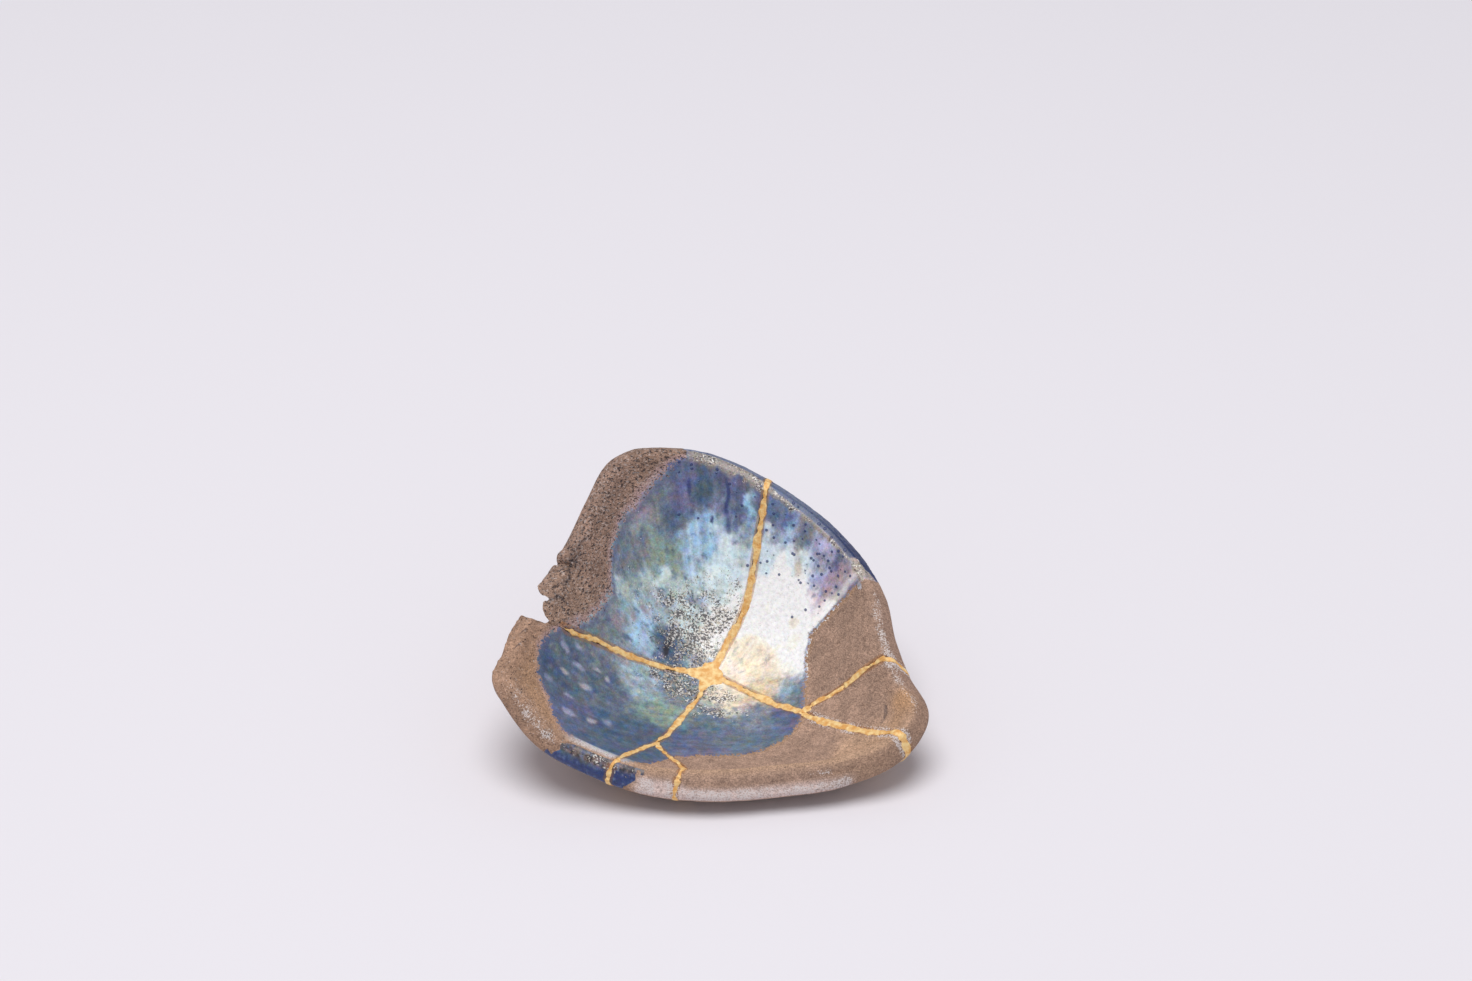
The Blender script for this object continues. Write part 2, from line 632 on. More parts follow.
def relief(at, inset):
    """How far the skin stands out from the plain form, in metres."""
    p = at.points
    glazed = ramp(inset, -0.3, 0.4) * at.inner
    clay = 1.0 - glazed
    front_lip = between(at.turn, 246.0, 324.0, 8.0)
    torn = between(at.turn, 160.0, 206.0, 5.0) * ramp(at.share, 0.88, 0.97)
    height = 0.30 * layered(p, 25 * MM, 2, 61)
    height += 0.40 * layered(p, 10 * MM, 2, 63) * at.outer
    height += (0.15 + 0.45 * torn) * layered(p, 2.4 * MM, 2, 65) * clay
    height += 0.6 * torn * layered(p, 6.0 * MM, 2, 66)
    spot, tag = cells(p * np.array(PIT_STRETCH), 2.1 * MM, 67)
    height -= 0.40 * clay * (tag > 0.6) * (1.0 - ramp(spot, 0.16, 0.34))
    height += glazed * (0.22 + 0.16 * bump_at(inset, 0.9, 0.8) + 0.05 * layered(p, 3.5 * MM, 2, 69))
    height += 0.8 * front_lip * bump_at(at.share, 0.960, 0.020) * (1.0 - at.outer)
    height -= 0.5 * front_lip * bump_at(at.share, 0.90, 0.03) * at.inner
    height -= 0.6 * fissures(at)
    height *= 1.0 - at.outer * (1.0 - ramp(p[:, 2], 0.4 * MM, 3.0 * MM))
    return height * at.skin * MM


def broken_edge(at):
    """How far the rim's broken and worn edge stands out beyond the plain rim, in metres."""
    wave = noise(at.points, 2.0 * MM, 81) + 0.6 * noise(at.points, 0.9 * MM, 82)
    step = 0.35 * wave * between(at.turn, 164.0, 204.0, 4.0) * ramp(at.share, 0.95, 1.0)
    for out, turn, spread, stray, share in TORN_STEPS:
        step = step + out * bump_at(at.turn + stray * wave, turn, spread) * ramp(at.share, share, 1.0)
    return step * MM


# Gold

def skin_point(plan, side):
    """Points and outward normals on a face, kept above the foot's flat."""
    place, normal, _ = face_point(plan, side)
    low = place[:, 2] < GOLD_LIFT
    place[low, 2] = GOLD_LIFT
    normal[low] = (0.0, 0.0, -1.0)
    return place, normal


def lip_crossing(start, ahead, steps):
    """Points on the lip above a straight line in plan, from inside to outside."""
    square = np.array((-ahead[1], ahead[0]))
    middle = math.degrees(math.atan2(start[1] - POLE[1], start[0] - POLE[0]))
    low = np.full(len(steps), middle - 12.0)
    high = np.full(len(steps), middle + 12.0)

    def off(turn):
        return (lip_point(turn, steps)[:, :2] - start) @ square

    sign = np.sign(off(high))
    for _ in range(26):
        half = (low + high) / 2.0
        over = off(half) * sign > 0.0
        high = np.where(over, half, high)
        low = np.where(over, low, half)
    return lip_point((low + high) / 2.0, steps)


def face_run(line, side):
    """The part of a plan line that lies on a face, with normals."""
    place, _, share = face_point(line, side)
    turn = np.degrees(np.arctan2(place[:, 1] - POLE[1], place[:, 0] - POLE[0]))
    beyond = np.nonzero(share > 1.0 - EDGE_ROUND / rim_spacing(turn))[0]
    last = beyond[0] if len(beyond) else len(line)
    place, normal = skin_point(line, side)
    return place[:last], normal[:last], last


def seam_path(points, to_rim):
    """A path over the inner face, round the lip and back underneath, with normals."""
    coarse, s = seam_line(points)
    fine = np.arange(0.0, s[-1], BEAD_STEP)
    line = np.stack([np.interp(fine, s, coarse[:, 0]), np.interp(fine, s, coarse[:, 1])], -1)
    inner, inner_normal, inner_last = face_run(line, 1)
    outer, outer_normal, outer_last = face_run(line, -1)
    if not to_rim:
        return [(inner, inner_normal), (outer, outer_normal)]
    last = max(inner_last, outer_last)
    ahead = unit(line[last - 1] - line[last - 8])
    lip = lip_crossing(line[last - 1], ahead, np.linspace(0.0, 1.0, 44)[1:-1])
    path = np.concatenate([inner, lip, outer[::-1]])
    return [(path, np.concatenate([inner_normal, Spots(lip).directions(), outer_normal[::-1]]))]


def bead(path, normal, width, seed, taper, flare):
    """A lumpy raised line of gold along a path, as a closed skin."""
    aside = unit(np.cross(unit(np.gradient(path, axis=0)), normal))
    s = np.concatenate(([0.0], np.cumsum(np.linalg.norm(path[1:] - path[:-1], axis=1))))

    def lumps(size, number):
        return level_noise(s, 0.0 * s, size * MM, seed + number)

    wide = width / 2.0 * (1.0 + 0.38 * lumps(5.0, 0) + 0.30 * lumps(1.6, 1))
    tall = BEAD_HEIGHT * (1.0 + 0.25 * lumps(4.0, 2) + 0.08 * lumps(1.6, 3))
    shift = (0.40 * lumps(4.4, 4) + 0.20 * lumps(1.7, 5)) * MM
    start = bump_at(s, 0.0, FLARE_LENGTH)
    if taper:
        end = ramp(s, s[-1] - taper, s[-1])
        wide *= 1.0 + flare * start - 0.8 * end
        tall *= 1.0 - 0.6 * end
    else:
        wide *= 1.0 + flare * (start + bump_at(s, s[-1], FLARE_LENGTH))
    ring = [(wide * math.cos(a), tall * math.sin(a) ** 0.5 - 0.12 * MM) for a in np.linspace(0.0, math.pi, 13)]
    ring += [(wide * across, 0.0 * s - 0.7 * MM) for across in (-0.85, 0.0, 0.85)]
    rings = [path + aside * (across + shift)[:, None] + normal * up[:, None] for across, up in ring]
    ends = (path - normal * 0.3 * MM)[[0, -1]]
    return closed_skin(ends[0], np.stack(rings, 1), ends[1])


def web(path, normal, width):
    """The gold inside the joint: a thin wall between the two runs of a path round the lip."""
    count = len(path) // 2
    base = path - normal * 0.35 * MM
    first, second = base[:count], base[::-1][:count]
    middle = (first + second) / 2.0
    off = np.pad(sideways(middle[:, :2]), ((0, 0), (0, 1))) * (width / 2.0 - 0.15 * MM)
    rings = np.stack([first + off, first - off, second - off, second + off], 1)
    return closed_skin(middle[0], rings, middle[-1])


def star_patch(side):
    """The gold patch over the lost piece where the seams meet, on one face."""
    turn = np.arange(0.0, 360.0, 3.0)
    reach = star_reach(turn)
    rings = []
    for r in np.arange(1, STAR_RINGS + 1) / STAR_RINGS:
        place, normal = skin_point(star_places(turn, reach * r * 1.15), side)
        lumps = 1.0 + 0.40 * noise(place, 3.2 * MM, 91) + 0.22 * noise(place, 1.4 * MM, 92)
        rings.append(place + normal * (0.60 * (1.0 - r ** 6) * lumps - 0.25 * r ** 8)[:, None] * MM)
    place, normal = skin_point(star_places(turn, reach), side)
    rings.append(place - normal * MM)
    place, normal = skin_point(star_places(turn[:1], np.zeros(1)), side)
    return closed_skin(place + normal * 0.6 * MM, rings, place - normal * MM)


def star_core():
    """The gold plug through the wall under the patch."""
    turn = np.arange(0.0, 360.0, 6.0)
    rings, ends = [], []
    for side in (1, -1):
        inset = (0.0, 0.0, 0.3 * MM * side)
        rings.append(skin_point(star_places(turn, star_reach(turn) - GOLD_LAP), side)[0] - inset)
        ends.append(skin_point(star_places(turn[:1], np.zeros(1)), side)[0] - inset)
    return closed_skin(ends[0], rings, ends[1])


def gold_parts():
    """All the gold as one list of closed skins."""
    parts = [star_patch(1), star_patch(-1), star_core()]
    for number, (name, width, points) in enumerate(SEAMS):
        through = name != "left"
        for path, normals in seam_path(points, through):
            at = Spots(path)
            lifted = path + normals * relief(at, glaze_inset(at))[:, None]
            taper = 0.0 if through else 5.0 * MM
            flare = 0.9 if points[0] == STAR_PLACE else 0.4
            parts.append(bead(lifted, normals, width + 0.3 * MM, 200 + 20 * number, taper, flare))
            if through:
                parts.append(web(path, normals, width - GOLD_LAP))
    return parts


# Paint

COLOURS = {
    "navy": (56, 68, 118), "slate": (98, 106, 138), "deep": (80, 96, 122), "steel": (98, 114, 134),
    "mist": (122, 132, 146), "sky": (156, 188, 214), "pale": (206, 222, 228), "white": (255, 254, 250),
    "cream": (231, 216, 195), "teal": (154, 172, 182), "lavender": (170, 171, 199), "violet": (156, 142, 153),
    "green": (140, 158, 148), "tan": (186, 166, 142), "halo": (188, 158, 158), "orange": (188, 148, 114),
    "brown": (171, 141, 123), "sunlit": (190, 156, 130), "warm": (174, 140, 118), "rust": (150, 122, 106),
    "dark": (112, 90, 80), "grey": (158, 129, 114), "pink": (232, 208, 201), "cobalt": (50, 64, 112),
    "dusk": (106, 120, 155), "ink": (48, 46, 54), "ash": (222, 214, 212), "straw": (204, 187, 158),
    "gold_edge": (158, 104, 62), "gold_low": (228, 168, 92), "gold_high": (252, 220, 156),
    "crust": (142, 118, 92), "sand": (162, 150, 138), "veil": (206, 218, 208),
}
# Areas of each colour: place in percent of the width, and size
GLAZE_AREAS = {
    "slate": ((-8, 47, 1.0), (7, 47, 1.1), (-32, -8, 1.0), (18, 2, 0.7), (-2, -9, 0.9), (29.5, 30.6, 0.45)),
    "mist": ((-20, 34, 1.0), (-12, 43, 0.6), (-23, 20, 0.9), (-29, 16, 0.8), (23, 37.5, 0.6), (21, 7, 0.6),
             (-8, 14, 0.7), (12, 4, 0.7), (-2, 22.3, 0.3)),
    "teal": ((-21, 28, 0.6), (-13, 31, 0.9), (19, 10.5, 0.45), (-17, 15, 0.9), (-21, 19, 0.35),
             (-2.5, 32.8, 0.5)),
    "pale": ((3, 38, 1.0), (1, 35, 0.8), (-5, 30, 0.6), (12.5, 37.8, 0.45), (14.5, 35.8, 0.3),
             (22.5, 33.6, 0.4), (19.5, 34.8, 0.45), (-12, 33.8, 0.35)),
    "deep": ((-10, 23, 0.6), (-39, 3, 1.0), (-23, -10, 1.0), (-14, -6, 0.9), (-26, -15, 0.8), (-2, 47.5, 0.5)),
    "white": ((18, 32, 1.0), (28, 23.5, 0.7), (16, 28, 1.3), (20, 20, 0.9), (6, 29, 0.8), (1, 29, 0.7)),
    "sky": ((-3, 41, 0.8), (-17, 24, 0.9), (18, 37.2, 0.45), (9.8, 42.6, 0.4)),
    "steel": ((-28, 8, 1.0), (-34, 9, 0.6), (2, -1, 0.9), (12, -6, 1.0)),
    "cream": ((13, 21, 1.0), (5, 12, 0.7), (8, 22, 0.8)), "straw": ((12, 12, 0.7),),
    "violet": ((-17, 43, 0.7), (31, 27.2, 1.15)), "green": ((-12, 38, 0.8), (-12, 5, 0.7)),
    "dusk": ((15, 43, 0.9), (16, 40.2, 0.75)), "lavender": ((26.5, 32, 0.9),),
}
CLAY_AREAS = {
    "grey": ((-24, 42, 1.0), (-31, 29, 1.0), (30, -30, 0.8)), "rust": ((-14, 52, 0.9),),
    "brown": ((-33, 18, 0.8), (30, 16, 1.3), (38, 2, 1.0), (20, -14, 1.0), (2, -20, 0.9)),
    "warm": ((-46, 0, 1.0), (-43, -14, 1.0), (-34, -20, 0.8)),
    "sunlit": ((34, -14, 0.8),), "orange": ((44, -4, 0.4),),
}
# Soft spots of each colour on the glaze: place, half width and half depth in percent, strength
SPOTS = {
    "lavender": (
        (-33.4, 9.6, 1.1, 0.9, 0.8), (-30.5, 11.9, 0.9, 0.7, 0.8), (-30.5, 8.1, 1.2, 0.7, 0.8),
        (-37.2, 0.1, 1.3, 1.0, 0.6), (-32.5, -0.9, 1.5, 0.7, 0.7), (-32.5, -6.6, 1.6, 1.2, 0.8),
        (-23.8, -4.2, 1.6, 1.2, 0.6)),
    "ash": (
        (-33.8, 4.6, 1.2, 0.6, 0.6), (-26.8, 9.6, 1.0, 0.5, 0.6), (-24.3, 9.3, 0.7, 0.7, 0.6),
        (-29.0, 4.5, 1.7, 1.0, 0.6), (-27.6, -6.0, 1.4, 1.1, 0.6)),
    "violet": (
        (-21.7, 22.0, 1.5, 1.5, 0.7), (-18.5, 25.4, 1.1, 1.1, 0.7), (-15.9, 27.7, 1.2, 0.9, 0.6),
        (-20.5, 15.5, 1.6, 0.8, 0.5), (-14.5, 13.5, 1.3, 1.2, 0.5)),
    "ink": ((-10.3, 22.6, 1.0, 2.0, 0.9),), "deep": ((-8.5, 21.0, 1.6, 1.2, 0.7),),
    "navy": (
        (4.0, 45.2, 0.7, 2.0, 0.9), (-5.0, 46.5, 0.7, 0.8, 0.8), (7.8, 46.6, 0.6, 0.8, 0.8),
        (0.5, 43.0, 0.5, 0.5, 0.8)),
    "cobalt": ((4.4, 42.2, 0.7, 1.2, 0.5),), "slate": ((26.8, 33.0, 2.0, 0.7, 0.35),),
    "tan": ((20.9, 33.3, 1.2, 1.2, 0.5), (19.7, 25.6, 1.6, 1.5, 0.35), (14.0, 30.0, 1.0, 1.0, 0.2)),
    "straw": ((16.0, 16.5, 5.0, 3.5, 0.2), (20.0, 22.0, 2.5, 2.5, 0.2)),
}
AREA_SIZE = 5.0
AREA_CORE = 0.12
AREA_FALL = 2.6
# Where crystals and navy dots gather: strength, place, half width and half depth in percent
CRYSTAL_AREAS = (
    (0.95, -4, 25, 7, 7), (1.1, -8, 15, 7, 4), (0.8, 1, 12, 8, 3), (0.5, -2, 31, 9, 5), (0.35, -14, 27, 9, 8),
    (0.7, 2, 6, 7, 3), (0.4, 4, 33, 4, 5), (0.7, -1, 22, 3, 3),
)
DOT_AREAS = ((0.9, 25, 34, 7, 6), (0.6, 30, 28, 5, 4), (0.3, 4, 46, 12, 4), (0.3, 16, 39, 7, 4))
# Shifts of hue in the glaze: size in millimetres, seed, and how far each channel goes
TINTS = ((2.0, 108, (-22.0, -4.0, 20.0)), (3.4, 109, (10.0, -6.0, 8.0)))
REACH_LIMIT = 4.0


def blended(u, v, areas):
    """Colours from the named areas, each strongest at its own place."""
    total = np.zeros((len(u), 3))
    weight = np.zeros(len(u))
    for name, places in areas.items():
        for x, y, size in places:
            away = ((u - x) ** 2 + (v - y) ** 2) / (AREA_SIZE * size) ** 2
            w = 1.0 / (away + AREA_CORE) ** AREA_FALL
            total += w[:, None] * np.array(COLOURS[name])
            weight += w
    return total / weight[:, None]


def coated(colour, *coats):
    """The colour under coats of named colours, each with its own amount."""
    for name, amount in coats:
        colour = colour + (np.array(COLOURS[name], float) - colour) * np.clip(amount, 0.0, 1.0)[:, None]
    return colour


def linear(colour):
    c = np.clip(colour / 255.0, 0.0, 1.0)
    return np.where(c <= 0.04045, c / 12.92, ((c + 0.055) / 1.055) ** 2.4)


def streaks(at, seed):
    """Fine runs of glaze: down the steep back, and level across the front."""
    x, y = at.u, at.v - POLE_BACK
    around, away = np.arctan2(y, x) * 26.0, np.hypot(x, y) * 0.16
    down = level_noise(around, away, 1.0, seed) + 0.6 * level_noise(around, away, 0.45, seed + 1)
    across = level_noise(x * 0.14, y, 0.9, seed + 2) + 0.6 * level_noise(x * 0.14, y, 0.45, seed + 3)
    front = 1.0 - ramp(at.v, 4.0, 20.0)
    return down * (1.0 - front) + across * front


def glaze_colour(at, inset):
    p = at.points
    u, v = strayed(at, (1.7, 9.0, 101, 103), (0.8, 3.2, 102, 104), (0.5, 1.4, 106, 107))
    colour = blended(u, v, GLAZE_AREAS)
    light = colour.mean(-1)
    pale = ramp(light, 190.0, 235.0)
    run = streaks(at, 120)
    mottle = layered(p, 2.6 * MM, 3, 131)
    tone = 1.0 + (0.20 * layered(p, 2.6 * MM, 3, 105) + 0.07 * run) * (1.0 - 0.75 * pale)
    tone *= 0.97 + 0.07 * ramp(light, 120.0, 190.0) + 0.05 * ramp(at.v, 8.0, 26.0)
    colour = colour * tone[:, None]
    for size, seed, tint in TINTS:
        colour = colour + ((1.0 - 0.7 * pale) * layered(p, size * MM, 2, seed))[:, None] * np.array(tint)
    pour = line_distance(at.u + 0.6 * (u - at.u), at.v + 0.6 * (v - at.v), POUR_EDGE)
    colour = coated(
        colour,
        ("green", 0.45 * ramp(mottle, 0.1, 0.6) * between(at.v, 2.0, 40.0, 6.0) * (at.u < 8.0)),
        ("deep", 0.55 * ramp(-mottle, 0.15, 0.6) * (1.0 - pale)),
        ("pale", 0.3 * ramp(run, 0.5, 1.3) * between(at.v, 22.0, 44.0, 4.0) * (1.0 - pale)),
        ("veil", 0.6 * (1.0 - ramp(pour, 0.2, 1.9)) * ramp(mottle, -0.5, 0.3)))
    u, v = at.u + 0.35 * (u - at.u), at.v + 0.35 * (v - at.v)
    for name, spots in SPOTS.items():
        for x, y, wide, deep, strength in spots:
            d = np.hypot((u - x) / wide, (v - y) / deep)
            colour = coated(colour, (name, strength * (1.0 - ramp(d, 0.35, 1.25))))
    return coated(
        colour,
        ("slate", 0.65 * between(at.turn, 95.0, 235.0, 6.0) * bump_at(inset, 0.9, 0.9)),
        ("white", 0.6 * between(at.right_turn, 192.0, 206.0, 3.0) * bump_at(inset, 2.6, 1.6)),
        ("slate", 0.7 * between(at.right_turn, 130.0, 204.0, 3.0) * bump_at(inset, 0.2, 0.6)))


def clay_colour(at, inset):
    p = at.points
    colour = blended(*strayed(at, (3.0, 16.0, 111, 112)), CLAY_AREAS)
    colour = colour * (1.0 + 0.10 * layered(p, 5.0 * MM, 2, 113) + 0.07 * noise(p, 1.4 * MM, 114))[:, None]
    left = between(at.turn, 90.0, 240.0, 8.0)
    stain = ramp(layered(p, 8.0 * MM, 3, 115), 0.08, 0.5) * ramp(at.share, 0.6, 0.9)
    near = (1.0 - ramp(-inset, 0.5, 2.4)) * at.inner
    ridge = between(at.turn, 243.0, 322.0, 6.0) * bump_at(at.share, 0.965, 0.022) * (1.0 - at.outer)
    corner = np.maximum(at.turn - 324.0, -8.0)
    edge = ramp(at.out, 0.5, 0.9)
    return coated(
        colour,
        ("dark", 0.30 * stain * between(at.turn, 95.0, 215.0, 6.0)),
        ("halo", 0.8 * left * near),
        ("orange", 0.55 * (1.0 - left) * near),
        ("sunlit", 0.85 * ridge),
        ("orange", 0.6 * between(at.turn, 195.0, 224.0, 5.0) * bump_at(at.share, 0.9, 0.06)),
        ("orange", 0.5 * bump_at(corner, 6.0, 8.0) * bump_at(at.share, 0.93, 0.03)),
        ("pink", 0.9 * pink_band(at)),
        ("ash", 0.7 * cream_band(at)),
        ("rust", 0.5 * edge * between(at.turn, 306.0, 330.0, 5.0)),
        ("grey", 0.6 * edge * between(at.right_turn, 150.0, 190.0, 5.0)))


def pink_band(at):
    """The whitish band low on the front lip, 0 to 1; beside the cobalt glaze it climbs."""
    over = at.over + 0.24 * between(at.turn, 240.0, 261.0, 4.0)
    return between(at.turn, 247.0, 312.0, 2.0) * ramp(at.out, 0.4, 0.8) * ramp(over, 0.36, 0.68)


def cream_band(at):
    """The pale sandy line between the glaze and the front-left lip, 0 to 1."""
    return between(at.turn, 225.0, 243.0, 3.0) * between(at.share, 0.915, 0.972, 0.012) * at.inner


def back_lip(at):
    """Masks of the glaze over the back lip: all, its blue part and its sandy line."""
    wave = layered(at.points, 3.0 * MM, 2, 141)
    turn = (at.turn + 3.0 * layered(at.points, 4.0 * MM, 2, 142) + 180.0) % 360.0
    turns = between(turn, 194.0, 280.0, 3.0)
    start = -0.03 + 0.36 * ramp(turn, 222.0, 270.0) + 0.75 * (1.0 - ramp(turn, 190.0, 207.0))
    over = at.over + 0.05 * wave
    blue = turns * ramp(np.maximum(at.out, at.outer), 0.30, 0.65) * ramp(over - start, 0.0, 0.07)
    sandy = turns * ramp(at.share + 0.020 * wave, 0.966, 0.984) * (1.0 - blue)
    run_down = 0.012 + between(turn, 206.0, 268.0, 12.0) * (0.05 + 0.035 * noise(at.points, 9.0 * MM, 143))
    low = np.where(at.side > 0.0, 0.95, 1.0 - run_down + 0.006 * wave)
    return turns * ramp(at.share, low - 0.008, low + 0.008), blue, sandy


def lip_paint(at, colour):
    """Glaze colours on the lip and outside, with masks of the back and front-left lips."""
    p = at.points
    shade = ramp(at.right_turn, 205.0, 228.0)
    back = coated(np.array(COLOURS["cobalt"], float) + np.zeros((len(p), 3)), ("dusk", shade))
    back *= (0.86 + 0.086 * layered(p, 4.0 * MM, 3, 145))[:, None]
    cover, painted_blue, sandy = back_lip(at)
    colour = coated(colour, ("sand", 0.8 * sandy))
    colour += (back - colour) * painted_blue[:, None]
    turn = at.turn + 2.2 * layered(p, 2.6 * MM, 2, 146) - 4.0 * (0.7 - at.over)
    lower = between(turn, 224.5, 245.8, 0.8) * ramp(at.out, 0.3, 0.8)
    upper = lower * (1.0 - ramp(at.over, 0.35, 0.5))
    line = 0.30 + 0.28 * between(at.turn, 222.0, 238.0, 3.0) + 0.14 * layered(p, 2.5 * MM, 2, 148)
    colour = coated(
        colour,
        ("ash", 0.8 * cream_band(at)),
        ("rust", 0.7 * upper),
        ("ink", 0.8 * upper * ramp(layered(p, 1.3 * MM, 2, 147), -0.25, 0.3)),
        ("cobalt", lower * ramp(at.over - line, -0.12, 0.12)),
        ("dusk", 0.75 * lower * ramp(layered(p, 1.8 * MM, 2, 149), 0.0, 0.5)))
    return colour, cover, lower


def density(at, inset, seam):
    """Where crystals, navy dots, frost and pits are thick, from 0 to 1."""
    p = at.points
    u, v = strayed(at, (1.2, 5.0, 151, 152))
    crystal, dots = (base + sum(strength * np.exp(-((u - x) / wide) ** 2 - ((v - y) / deep) ** 2)
                                for strength, x, y, wide, deep in areas)
                     for base, areas in ((0.16, CRYSTAL_AREAS), (0.0, DOT_AREAS)))
    edge = ramp(at.out, 0.1, 0.7)
    frost = 0.95 * pink_band(at) + 0.5 * cream_band(at)
    frost += bump_at(at.turn, 305.0, 6.0) * edge * bump_at(at.over, 0.28, 0.14)
    rimed = ramp(at.share, 0.91, 0.96) * bump_at(at.over, 0.24, 0.36)
    frost += 0.80 * between(at.turn, 206.0, 230.0, 4.0) * rimed
    right_rim = between(at.right_turn, 152.0, 191.0, 5.0) * ramp(at.share, 0.95, 0.99)
    frost += 0.78 * right_rim * (1.0 - ramp(at.over, 0.15, 0.45))
    right = between(at.u, 22.0, 46.0, 3.0) * between(at.v, -17.0, 4.5, 1.0)
    frost += 0.80 * right * (1.0 - ramp(seam, 0.6, 3.8)) * ramp(-inset, 0.0, 1.5)
    frost += 0.6 * between(at.u, 36.0, 50.0, 3.0) * (1.0 - ramp(seam, 0.5, 3.0)) * edge
    frost *= 1.0 + 0.9 * layered(p, 5 * MM, 3, 153)
    speckled = ramp(at.share, 0.96, 0.98) * (1.0 - ramp(at.over, 0.40, 0.65))
    speckled *= between(at.turn, 223.0, 246.0, 1.5)
    crystal *= 1.0 + 0.6 * layered(p, 4 * MM, 2, 154)
    crystal += 0.55 * speckled + 0.7 * back_lip(at)[2]
    pits = 0.35 + 0.65 * between(at.turn, 95.0, 186.0, 6.0) + 0.3 * between(at.turn, 186.0, 230.0, 6.0)
    fields = {"crystal": crystal, "dots": dots, "frost": frost, "pits": pits}
    return {name: np.clip(amount, 0.0, 1.0) for name, amount in fields.items()}


def painted(at, inset):
    """What the material reads: clay and glaze colours, the glaze's edge and each kind of mark."""
    seam = seam_distance(at.points[:, 0], at.points[:, 1]) / MM
    by_gold = (1.0 - ramp(seam, 0.45, 1.0)) * at.skin
    clay = coated(clay_colour(at, inset), ("ink", 0.62 * fissures(at)), ("gold_edge", 0.6 * by_gold))
    glaze, cover, lower = lip_paint(at, glaze_colour(at, inset))
    glaze = coated(glaze, ("gold_edge", 0.45 * by_gold))
    face = np.where(at.inner > 0.5, np.clip(inset, -REACH_LIMIT, REACH_LIMIT), -REACH_LIMIT)
    over_lip = ramp(at.out, 0.1, 0.5)
    face = face * (1.0 - over_lip) - REACH_LIMIT * over_lip
    reach = np.maximum(face, (2.0 * np.maximum(cover, lower) - 1.0) * REACH_LIMIT)
    return {"clay": linear(clay), "glaze": linear(glaze), "reach": reach, **density(at, inset, seam)}


# Materials

class Graph:
    """A new material and its nodes."""

    def __init__(self, name):
        self.material = bpy.data.materials.new(name)
        self.material.use_nodes = True
        self.shader = self.material.node_tree.nodes["Principled BSDF"]
        self.coord = self.add("TexCoord", {}, "Object")

    def add(self, kind, inputs, output=0, **settings):
        """Adds a node, sets or links its inputs, and gives one of its outputs."""
        made = self.material.node_tree.nodes.new("ShaderNode" + kind)
        for key, value in settings.items():
            setattr(made, key, value)
        self.feed(made, inputs)
        return made.outputs[output]

    def feed(self, target, inputs):
        for key, value in inputs.items():
            if isinstance(value, bpy.types.NodeSocket):
                self.material.node_tree.links.new(value, target.inputs[key])
            else:
                target.inputs[key].default_value = value

    def field(self, name, output="Fac"):
        return self.add("Attribute", {}, output, attribute_name=name)

    def noise(self, size, detail=3.0, roughness=0.55, output="Fac", coord=None):
        place = self.coord if coord is None else coord
        values = {"Scale": 1.0 / size, "Detail": detail, "Roughness": roughness, "Vector": place}
        return self.add("TexNoise", values, output)

    def scaled(self, value, low, high, to_low, to_high, kind="LINEAR"):
        ends = {"From Min": low, "From Max": high, "To Min": to_low, "To Max": to_high}
        return self.add("MapRange", {"Value": value, **ends}, "Result", interpolation_type=kind)

    def step(self, value, low, high):
        return self.scaled(value, low, high, 0.0, 1.0, "SMOOTHSTEP")

    def math(self, operation, a, b):
        return self.add("Math", {0: a, 1: b}, operation=operation)

    def times(self, a, b):
        return self.math("MULTIPLY", a, b)

    def shaded(self, colour, factor):
        return self.add("VectorMath", {0: colour, "Scale": factor}, operation="SCALE")

    def mixed(self, factor, a, b):
        return self.add("Mix", {0: factor, 6: a, 7: b}, 2, data_type="RGBA")

    def bumped(self, height, strength, distance, under=None):
        below = {} if under is None else {"Normal": under}
        values = {"Distance": distance, "Strength": strength, "Height": height, **below}
        return self.add("Bump", values, "Normal")

    def channels(self, colour):
        red = self.add("SeparateColor", {0: colour})
        return red.node.outputs

    def dotted(self, size, radius, amount):
        """Round dots, at most one a cell, in a share of the cells."""
        cell = self.add("TexVoronoi", {"Scale": 1.0 / size, "Vector": self.coord}, "Distance")
        near = self.scaled(cell, 0.6 * radius, radius, 1.0, 0.0, "SMOOTHSTEP")
        return self.times(near, self.math("GREATER_THAN", amount, self.channels(cell.node.outputs["Color"])[0]))

    def hued(self, colour, size, strength):
        """The colour with each of its channels varied on its own."""
        spread = self.add("VectorMath", {0: self.noise(size, 3.0, 0.65, "Color"), 1: (strength,) * 3,
                                         2: (1.0 - strength / 2.0,) * 3}, operation="MULTIPLY_ADD")
        return self.add("VectorMath", {0: colour, 1: spread}, operation="MULTIPLY")

    def grains(self, size, amount, rare, dense, soft, patches=None, coord=None):
        """Three kinds of irregular specks, from rare at amount 0 to dense at 1."""
        level = self.scaled(amount, 0.0, 1.0, rare, dense)
        if patches is not None:
            level = self.math("ADD", level, self.scaled(patches, 0.3, 0.7, 0.09, -0.09))
        kinds = self.channels(self.noise(size, 4.0, 0.65, "Color", coord))
        return [self.step(self.math("SUBTRACT", kind, level), 0.0, soft) for kind in kinds]


def rgb(name):
    return (*[float(c) for c in linear(np.array(COLOURS[name], float))], 1.0)


